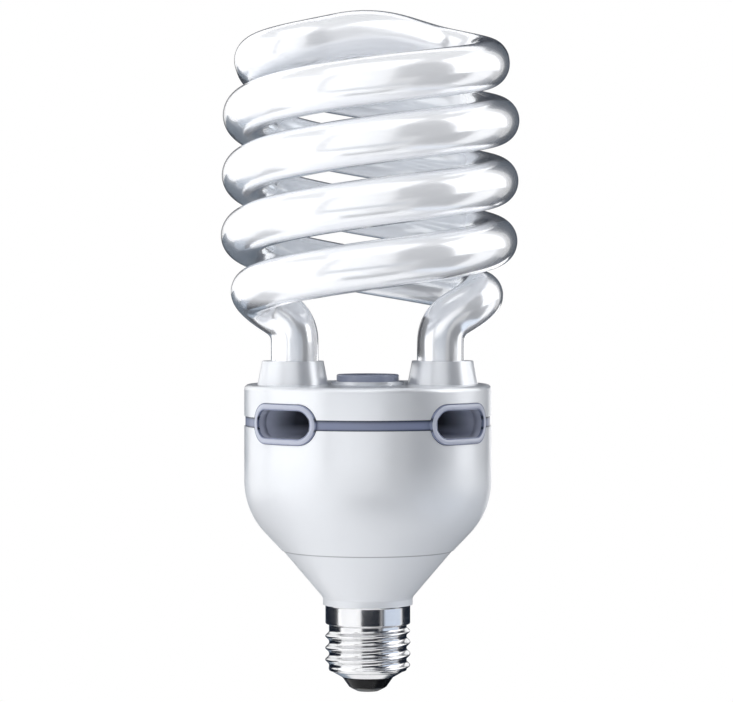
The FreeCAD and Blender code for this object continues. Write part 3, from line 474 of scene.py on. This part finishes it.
# %% A finish and its helpers
class Finish:
    """A material whose shader's sockets are set by name; values may be wrapped outputs."""

    def __init__(self, name):
        self.material = bpy.data.materials.new(name)
        self.material.use_nodes = True
        self.tree = self.material.node_tree
        self.shader = self.tree.nodes["Principled BSDF"]
        place = self.tree.nodes.new("ShaderNodeTexCoord")
        self.place = Mix(self.tree, place.outputs["Object"])

    def node(self, kind, settings=None, out=0, **inputs):
        """Any node: its settings first, then its inputs by name with _ for a space."""
        node = self.tree.nodes.new(kind)
        for key, value in (settings or {}).items():
            setattr(node, key, value)
        for key, value in inputs.items():
            connect(self.tree, node.inputs[key.replace("_", " ")], value)
        return Mix(self.tree, node.outputs[out])

    def noise(self, scale, detail=3.0, roughness=0.5, stretch=(1, 1, 1)):
        """Cloudy values from 0 to 1; scale is their number of lumps in a metre."""
        where = self.node("ShaderNodeMapping", Vector=self.place, Scale=stretch)
        amounts = dict(Scale=scale, Detail=detail, Roughness=roughness)
        return self.node("ShaderNodeTexNoise", Vector=where, **amounts)

    def blend(self, amount, low, high):
        """A colour between two colours. Sockets 6 and 7 of a Mix node are its colours, and
        its output 2 is the colour that it makes."""
        node = self.tree.nodes.new("ShaderNodeMix")
        node.data_type = "RGBA"
        connect(self.tree, node.inputs["Factor"], amount)
        for slot, colour in ((6, low), (7, high)):
            colour = (*colour, 1) if isinstance(colour, tuple) else colour
            connect(self.tree, node.inputs[slot], colour)
        return Mix(self.tree, node.outputs[2])

    def height(self):
        """Height over the centre contact, in millimetres."""
        parts = self.node("ShaderNodeSeparateXYZ", out=2, Vector=self.place)
        return parts * 1000.0

    def reach(self):
        """Distance from the lamp's axis, in millimetres."""
        flat = self.node("ShaderNodeVectorMath", {"operation": "MULTIPLY"}, Vector=self.place)
        flat.socket.node.inputs[1].default_value = (1000.0, 1000.0, 0.0)
        return self.node("ShaderNodeVectorMath", {"operation": "LENGTH"}, out=1, Vector=flat)

    def bump(self, relief, depth, strength=1.0):
        """Relief from 0 to 1 as small heights, whose full depth is in millimetres."""
        normal = self.node("ShaderNodeBump", Height=relief, Distance=depth * MM, Strength=strength)
        self.set(Normal=normal)

    def set(self, **sockets):
        """Sets the shader's sockets by name, with _ for a space; three numbers are a colour."""
        for key, value in sockets.items():
            if isinstance(value, tuple) and len(value) == 3:
                value = (*value, 1)
            connect(self.tree, self.shader.inputs[key.replace("_", " ")], value)
        return self


# %% Masks along a measure
def over(value, start, slope):
    """0 up to start, then slope for each millimetre past it, and 1 at most."""
    return ((value - start) * slope).clamp()


def under(value, start, slope):
    """0 down to start, then slope for each millimetre below it, and 1 at most."""
    return ((start - value) * slope).clamp()


def bell(value, middle, width):
    """exp(-((value - middle) / width)^2), as a power of e."""
    off = (value - middle) * (1 / width)
    return value.math("POWER", math.e, 0.0 - off * off)


print("masks: over, under, bell")

# %% [markdown]
# ## Glass over a white coating
# The tube is clear glass, coated white on the inside. From outside the coating gives the
# body colour and the glass gives a sharp gloss over it, so one surface with a soft white
# base and a clear coat looks right and needs no second tube. The coating is a little
# uneven, which shows as faint cloudy streaks along the glass. Where the surface turns away
# from the eye, the thickness of the glass shows as a dark or bright edge: the base is made
# more of a mirror there. The legs carry little coating and mirror all over, and the inner
# side of the coil, which sees only other glass, is painted greyer: painted shade.

# %% Coated glass
COIL_FOOT, COIL_TOP = 120.0, 192.0  # in millimetres
GLASS_IOR = 1.5

glass = Finish("coated_glass")
cloud = glass.noise(55.0, 4.0, 0.55)
dust = glass.noise(900.0, 2.0, 0.5)
tone = glass.blend(cloud, (0.85, 0.87, 0.915), (0.92, 0.93, 0.955))
# Painted shade: the inner side of the coil is greyer, for the light that the other turns hold
# back.
inner_shade = under(glass.reach(), TUBE["coil"] - 1.1, 0.14) * over(glass.height(), COIL_FOOT + 1, 0.2)
inner_shade = inner_shade * under(glass.height(), COIL_TOP, 0.2)
tone = glass.blend(inner_shade * 0.6, tone, (0.50, 0.56, 0.63))
leg = under(glass.height(), COIL_FOOT, 0.12)
rim = glass.node("ShaderNodeLayerWeight", out=1, Blend=0.5)
mirror = over(rim, 0.47, 3.8) + leg * 0.6
glass.set(Base_Color=tone, Metallic=(0.30 + 0.65 * mirror).clamp())
glass.set(Roughness=0.17 + 0.06 * cloud, IOR=GLASS_IOR)
glass.set(Coat_Weight=1.0, Coat_Roughness=0.02, Coat_IOR=GLASS_IOR)
# A faint white glow is painted light: it stands for light that passes through the coating.
glass.set(Emission_Color=(1.0, 1.0, 1.0), Emission_Strength=0.1)
glass.bump(cloud + 0.05 * dust, 0.03, 0.4)
glass_tube.data.materials.append(glass.material)
print("nodes of the glass finish:", len(glass.tree.nodes))

# %% [markdown]
# ## Moulded plastics
# The housing is injection-moulded, with a satin polish on the tool. Up close such a
# surface has a very fine grain, and its gloss varies softly where the melt flowed. The
# duct moulding is the same kind of plastic in blue-grey.

# %% White housing and blue-grey duct
def moulded(name, low, high, rough, sheen=0.0, grain=0.012):
    """A satin plastic: colour and roughness drift slowly, over a fine moulded grain."""
    finish = Finish(name)
    flow = finish.noise(38.0, 3.0, 0.5)
    fine = finish.noise(2600.0, 2.0, 0.6)
    finish.colour = finish.blend(flow, low, high)
    finish.flow = flow
    finish.set(Base_Color=finish.colour, Roughness=rough + 0.08 * flow + 0.03 * fine)
    finish.set(IOR=1.5, Metallic=sheen, Coat_Weight=0.5, Coat_Roughness=0.22)
    finish.bump(fine, grain, 0.5)
    return finish


housing = moulded("housing_white", (0.765, 0.785, 0.82), (0.805, 0.825, 0.86), 0.28, sheen=0.42)
duct = moulded("duct_grey", (0.17, 0.20, 0.31), (0.20, 0.23, 0.35), 0.34)
# The vent lips are the duct's plastic, painted paler: painted light on their rounded edge.
lit_lip_finish = moulded("lip_grey_painted_light", (0.44, 0.47, 0.58), (0.50, 0.53, 0.64), 0.30)
print("mouldings:", housing.material.name, duct.material.name, lit_lip_finish.material.name)

# %% [markdown]
# Two finer things belong to these mouldings. Where the neck meets the bowl, the joint is a
# narrow groove, and its shade is painted on as a thin dark line. The duct's ring sits a
# little deeper than the white pieces above and below it, and its two edges get painted
# shade. Its vents get painted light at the mouth and painted shade in their depth, where
# no light comes, and the chimney's top is painted paler, as painted light. Bell curves and
# ramps of the height and of the distance from the axis say where each of them is. The
# bowl's lower part is left a little less polished than its top.

# %% Painted groove shade and polish of the housing
NECK_JOINT = 43.2
# Painted shade: a thin dark line where the neck meets the bowl, for the shade in the joint's
# groove.
groove_shade = bell(housing.height(), NECK_JOINT, 0.16)
housing.set(Base_Color=housing.blend(groove_shade * 0.75, housing.colour, (0.10, 0.11, 0.13)))
low = under(housing.height(), 72.0, 0.07)
housing.set(Metallic=0.42 - 0.17 * low, Roughness=0.28 + 0.27 * low + 0.06 * housing.flow)
print("joint of neck and bowl at mm:", NECK_JOINT)

# %% Painted shade and light on the ring edges, vent mouths and chimney rim of the duct
RING_LOW, RING_HIGH = 81.35, 84.55
CHIMNEY_RIM = 93.5
# Painted shade: a dark line along each edge of the ring, for the shade of its recess.
edge_shade = bell(duct.height(), RING_LOW, 0.42) + bell(duct.height(), RING_HIGH, 0.65)
# Painted light: the vents' mouths are paler, for the light that falls into them.
mouth_light = under(duct.reach(), 36.8, 1.2)
# Painted shade: the vents are dark in their depth, where no light comes.
deep_shade = under(duct.reach(), 33.0, 0.12) * under(duct.height(), 92.0, 1.0)
deep_shade = deep_shade * over(duct.height(), 80.3, 0.5)
lit_mouth = duct.blend(mouth_light, duct.colour, (0.46, 0.49, 0.60))
shaded = duct.blend((edge_shade * 1.2).clamp() * (1 - mouth_light), lit_mouth, (0.02, 0.03, 0.06))
deep_shaded = duct.blend(deep_shade * 0.9, shaded, (0.03, 0.035, 0.05))
# Painted light: the chimney above its rim is paler, for the light on its top.
lit_chimney_top = over(duct.height(), CHIMNEY_RIM, 1.0)
duct.set(Base_Color=duct.blend(lit_chimney_top, deep_shaded, (0.30, 0.33, 0.44)))
print("ring height in mm:", round(RING_HIGH - RING_LOW, 2))

# %% [markdown]
# ## Metals of the cap
# The shell is nickel-plated and was rolled while it turned, so its fine marks run round it.
# The marks are noise that is stretched round the axis, which is the same as squeezing it
# along the height. The contact is tinned metal, pitted by its soldering, and its colour is
# painted near black: a painted reflection of the dark round it.

# %% Plated shell and tinned contact
plated = Finish("plated_shell")
rolled = plated.noise(40.0, 3.0, 0.6, stretch=(1, 1, 26))
stain = plated.noise(160.0, 3.0, 0.5)
plated.set(Base_Color=plated.blend(stain, (0.62, 0.62, 0.63), (0.80, 0.80, 0.81)), Metallic=1.0)
plated.set(Roughness=0.11 + 0.08 * rolled + 0.05 * stain)
plated.bump(rolled, 0.02, 0.35)
screw_shell.data.materials.append(plated.material)

tinned = Finish("tinned_contact")
pit = tinned.noise(700.0, 4.0, 0.6)
# Painted reflection: the contact's metal is near black, for the dark that it mirrors.
tinned.set(Base_Color=tinned.blend(pit, (0.05, 0.05, 0.05), (0.16, 0.16, 0.155)), Metallic=1.0)
tinned.set(Roughness=0.30 + 0.25 * pit)
tinned.bump(pit, 0.05, 0.6)
print("metals:", plated.material.name, tinned.material.name)


# %% [markdown]
# ## The rest of the lamp
# The insulator is black glass. The pieces inside the housing can't be seen, but each has
# the finish of its kind, because the part may be shown taken apart.

# %% Black glass
black = Finish("black_glass")
ripple = black.noise(220.0, 3.0, 0.5)
black.set(Base_Color=black.blend(ripple, (0.002, 0.002, 0.003), (0.008, 0.008, 0.009)))
black.set(Roughness=0.12 + 0.12 * ripple, Specular_IOR_Level=0.15)
black.bump(ripple, 0.03, 0.4)
print("insulator:", black.material.name)


# %% One recipe for small pieces
def small_finish(name, low, high, rough, scale, metal=0.0, coat=0.0, relief=0.03):
    """Two tones mixed by noise, with a roughness and a relief that follow it."""
    finish = Finish(name)
    grain = finish.noise(scale, 4.0, 0.6)
    finish.set(Base_Color=finish.blend(grain, low, high), Metallic=metal)
    finish.set(Roughness=rough + 0.12 * grain, Coat_Weight=coat, Coat_Roughness=0.08)
    finish.bump(grain, relief, 0.5)
    return finish.material


# %% Tones of the small pieces
# For each material of the record: name, two tones, roughness, lumps in a metre, and, where
# they differ from none, metal, coat and relief.
SMALL = {
    "cement": ("white_cement", (0.66, 0.65, 0.62), (0.82, 0.81, 0.79), 0.75, 500.0, 0.0, 0.0, 0.2),
    "board": ("brown_board", (0.36, 0.25, 0.10), (0.46, 0.33, 0.15), 0.55, 90.0),
    "capacitor_sleeve": ("dark_sleeve", (0.01, 0.012, 0.02), (0.03, 0.03, 0.045), 0.35, 120.0),
    "film_case": ("red_dip", (0.30, 0.05, 0.03), (0.42, 0.08, 0.04), 0.25, 150.0, 0.0, 0.6),
    "ferrite": ("ferrite_grey", (0.03, 0.03, 0.032), (0.07, 0.07, 0.072), 0.6, 900.0),
    "magnet_wire": ("enamelled_copper", (0.42, 0.14, 0.05), (0.62, 0.25, 0.09), 0.28, 1500.0, 0.8),
    "epoxy": ("moulded_epoxy", (0.012, 0.012, 0.013), (0.03, 0.03, 0.03), 0.5, 1200.0),
    "resistor_body": ("lacquered_body", (0.50, 0.42, 0.26), (0.62, 0.54, 0.36), 0.4, 400.0),
    "thermistor_body": ("dipped_disc", (0.03, 0.10, 0.06), (0.06, 0.16, 0.10), 0.45, 500.0),
    "wire": ("tinned_wire", (0.50, 0.50, 0.51), (0.70, 0.70, 0.71), 0.25, 800.0, 1.0),
    "insulated_wire": ("sleeved_wire", (0.74, 0.74, 0.73), (0.84, 0.84, 0.83), 0.4, 600.0),
}
print("small finishes:", len(SMALL))

# %% Every piece gets its finish
finishes = {slot: small_finish(*recipe) for slot, recipe in SMALL.items()}
finishes["contact_metal"] = tinned.material
finishes["cap_insulator"] = black.material
finishes["housing_plastic"] = housing.material
finishes["duct_plastic"] = duct.material
finishes["cap_metal"] = plated.material
finishes["lamp_glass"] = glass.material
for part in frame["record"]["subparts"]:
    mesh = frame["nodes"][part["node"]].data
    mesh.materials.clear()
    mesh.materials.append(finishes[part["material_slot"]])
for lip in lips:
    lip.data.materials.append(lit_lip_finish.material)
print("finishes:", len(finishes))

# %% [markdown]
# ## The studio
# White glass on white needs something dark to show its edges. The lamp stands in a white
# surround with large soft lights on the left, in front and above. An upright surface that
# faces an angle mirrors what stands at twice that angle, which says where each board goes.
# Dark boards, called flags, stand in front on the right: they put the soft grey on the
# right half of the coil and, lower down, of the housing. Light boards beyond them give the
# bright flash on each turn and the paler right side, and flags behind draw the thin dark
# edges. Small cards close to the cap and the legs do the same for these pieces alone, and
# lights below keep the underside of the turns and the bowl from going dark.


# %% A board
def facing_board(name, azimuth, elevation, distance, width, height, colour, glow, level):
    """A flat board that faces the lamp's axis at a level. Its middle lies at a distance
    from there along (sin a cos e, -cos a cos e, sin e); glow is the light that it gives."""
    a, e = math.radians(azimuth), math.radians(elevation)
    out = np.array([math.sin(a) * math.cos(e), -math.cos(a) * math.cos(e), math.sin(e)])
    across = np.array([math.cos(a), math.sin(a), 0.0])
    up = np.cross(across, -out)
    middle = np.array([0, 0, level]) + out * distance
    corners = [middle + across * i * width / 2 + up * j * height / 2
               for i, j in ((-1, -1), (1, -1), (1, 1), (-1, 1))]
    mesh = bpy.data.meshes.new(name)
    mesh.from_pydata([tuple(c) for c in corners], [], [(0, 1, 2, 3)])
    board = bpy.data.objects.new(name, mesh)
    bpy.context.scene.collection.objects.link(board)
    paint = Finish(name + "_paint")
    paint.set(Base_Color=colour, Roughness=0.9, Specular_IOR_Level=0.0)
    if glow:
        paint.set(Emission_Color=(1.0, 1.0, 1.0), Emission_Strength=glow)
    mesh.materials.append(paint.material)
    board.visible_camera = False
    return board


# %% Boards and lights round the lamp
DARK = (0.012, 0.018, 0.032)
SLATE = (0.035, 0.05, 0.075)
STEEL = (0.09, 0.12, 0.16)
BLUE = (0.30, 0.36, 0.44)
SKY = (0.60, 0.72, 0.90)
PALE = (0.85, 0.85, 0.85)
MIDDLE = 0.13  # metres over the contact, the middle of the lamp

# Name, azimuth, elevation, distance, width, height, colour, glow and level; angles are in
# degrees and lengths in metres. Azimuth 0 is the front, and it grows to the right.
BOARDS = [
    ("left_light", -75, 0, 1.3, 1.6, 2.8, PALE, 0.78, MIDDLE),
    ("left_back_light", -136, 0, 1.3, 1.2, 2.8, PALE, 0.5, MIDDLE),
    ("front_light", -11, 0, 1.3, 1.20, 2.8, PALE, 0.5, MIDDLE),
    ("top_light", -15, 66, 1.3, 1.2, 0.9, PALE, 0.8, MIDDLE),
    ("back_light", 180, 44, 1.1, 1.6, 0.7, PALE, 0.35, MIDDLE),
    ("front_flag", 40, 0, 0.9, 0.74, 1.2, DARK, 0, 0.71),
    ("low_front_flag", 60, 0, 0.9, 0.76, 1.2, DARK, 0, -0.49),
    ("right_light", 76, 0, 0.92, 0.34, 1.2, PALE, 1.9, 0.72),
    ("right_side_light", 106, 0, 0.92, 0.62, 1.2, PALE, 1.0, 0.74),
    ("low_right_light", 99, 0, 0.92, 0.44, 1.2, PALE, 0.7, -0.49),
    ("housing_right_light", 150, 0, 0.16, 0.07, 0.084, PALE, 0.5, 0.062),
    ("low_right_back_flag", 140, -34, 0.7, 0.7, 0.45, SLATE, 0, MIDDLE),
    ("right_back_flag", 158, 0, 0.9, 0.72, 1.5, SLATE, 0, 0.57),
    ("left_back_flag", -173, 0, 0.9, 0.22, 2.4, DARK, 0, MIDDLE),
    ("back_flag", 180, 9, 0.9, 0.45, 0.42, DARK, 0, MIDDLE),
    ("low_back_flag", 180, -16, 0.9, 1.2, 0.42, STEEL, 0, MIDDLE),
    ("floor_back_flag", 180, -48, 0.75, 1.2, 0.5, BLUE, 0, MIDDLE),
    ("leg_flag", -2, 0, 0.15, 0.17, 0.024, BLUE, 0, 0.1075),
    ("low_left_card", -40, -44, 0.6, 0.8, 0.6, PALE, 0.7, 0.05),
    ("under_light", -90, -84, 0.35, 0.7, 0.6, PALE, 0.45, 0.05),
    ("low_right_flag", 108, -60, 0.32, 0.12, 0.16, SLATE, 0, 0.05),
    ("cap_flag", 5, 0, 0.15, 0.14, 0.08, DARK, 0, -0.014),
    ("cap_left_card", -54, 0, 0.15, 0.125, 0.07, PALE, 0.8, -0.009),
    ("cap_right_card", 68, 0, 0.15, 0.155, 0.06, SKY, 0.35, -0.004),
    ("cap_right_flag", 138, 0, 0.15, 0.23, 0.14, DARK, 0, -0.045),
    ("cap_left_flag", -122, 0, 0.15, 0.20, 0.12, DARK, 0, -0.035),
]
for board in BOARDS:
    facing_board(*board)
print("boards:", len(BOARDS))

# %% [markdown]
# Each leg also mirrors the other across the gap between them. A thin upright card there,
# dark towards the right leg and white towards the left one, gives each leg its own tone.

# %% A thin card between the legs
for side, x, paint in (("dark", 5.0, DARK), ("white", 4.0, PALE)):
    card = facing_board("leg_card_" + side, 0, 0, 0.0, 0.030, 0.020, paint, 0, 0.112)
    card.rotation_euler.z = math.radians(90)
    card.location = (x * MM, 10 * MM, 0)
    print(card.name, "at x in mm:", x)

# %% [markdown]
# ## Floor and surround
# The floor is plain and pale, and lies well below the lamp, which the picture shows against
# plain white. The boards would leave it in their shade, so it is made of two sheets: the
# lower one is what the lamp mirrors, and the upper one is what the eye sees, thin enough
# for the white surround to shine through it. The surround is pure white to the eye and
# half as strong as a light, so that the boards' tones show on the glass.

# %% Floor
SIDE, FLOOR = 4.2, -0.6  # half the floor's width, and its height, in metres


def pale_sheet(name, level, solid):
    """A square, level sheet of pale paint that the white surround shines through where
    solid, from 0 to 1, is low."""
    mesh = bpy.data.meshes.new(name)
    corners = [(i * SIDE, j * SIDE, level) for i, j in ((-1, -1), (1, -1), (1, 1), (-1, 1))]
    mesh.from_pydata(corners, [], [(0, 1, 2, 3)])
    sheet = bpy.data.objects.new(name, mesh)
    bpy.context.scene.collection.objects.link(sheet)
    paint = Finish(name + "_paint")
    cloud = paint.noise(3.0, 2.0)
    paint.set(Base_Color=paint.blend(cloud, (0.86, 0.86, 0.86), (0.90, 0.90, 0.90)))
    paint.set(Roughness=0.8, Alpha=solid)
    mesh.materials.append(paint.material)
    return sheet


pale_sheet("floor_for_light", FLOOR, 1.0).visible_camera = False
floor = pale_sheet("floor", FLOOR + MM, 0.2)
floor.visible_diffuse = floor.visible_glossy = False
floor.visible_transmission = floor.visible_shadow = False
print("floor at m:", FLOOR)

# %% White surround
AS_LIGHT, TO_THE_EYE = 0.5, 1.0
world = bpy.data.worlds.new("white_surround")
bpy.context.scene.world = world
world.use_nodes = True
sky = world.node_tree.nodes["Background"]
sky.inputs["Color"].default_value = (1.0, 1.0, 1.0, 1)
seen = world.node_tree.nodes.new("ShaderNodeLightPath")
level = world.node_tree.nodes.new("ShaderNodeMapRange")
level.inputs["To Min"].default_value = AS_LIGHT
level.inputs["To Max"].default_value = TO_THE_EYE
world.node_tree.links.new(seen.outputs["Is Camera Ray"], level.inputs["Value"])
world.node_tree.links.new(level.outputs[0], sky.inputs["Strength"])
bpy.context.scene.view_settings.view_transform = "Standard"
print("surround:", AS_LIGHT, "as a light,", TO_THE_EYE, "to the eye")

# %% [markdown]
# ## The camera
# The picture was taken from almost a metre away, a little above the middle of the lamp and
# a little from the left, with a long lens. The lens is worked out in the picture's own
# pixels and then turned into millimetres on a usual sensor.

# %% Camera
WIDE = 733  # the picture's width in pixels
FOCAL_PIXELS = 3235.0
SENSOR = 36.0
AIM = np.array([-0.4, 0.0, 104.2]) * MM
azimuth, elevation, distance = math.radians(-2.8), math.radians(1.4), 0.99
away = np.array([
    math.sin(azimuth) * math.cos(elevation),
    -math.cos(azimuth) * math.cos(elevation),
    math.sin(elevation),
])
lens_data = bpy.data.cameras.new("camera")
camera = bpy.data.objects.new("camera", lens_data)
bpy.context.scene.collection.objects.link(camera)
camera.location = AIM + away * distance
camera.rotation_mode = "QUATERNION"
camera.rotation_quaternion = Vector(-away).to_track_quat("-Z", "Y")
lens_data.sensor_fit = "HORIZONTAL"
lens_data.sensor_width = SENSOR
lens_data.lens = SENSOR * FOCAL_PIXELS / WIDE
lens_data.clip_start, lens_data.clip_end = 0.05, 50
bpy.context.scene.camera = camera
print("focal length in mm:", round(lens_data.lens, 1))
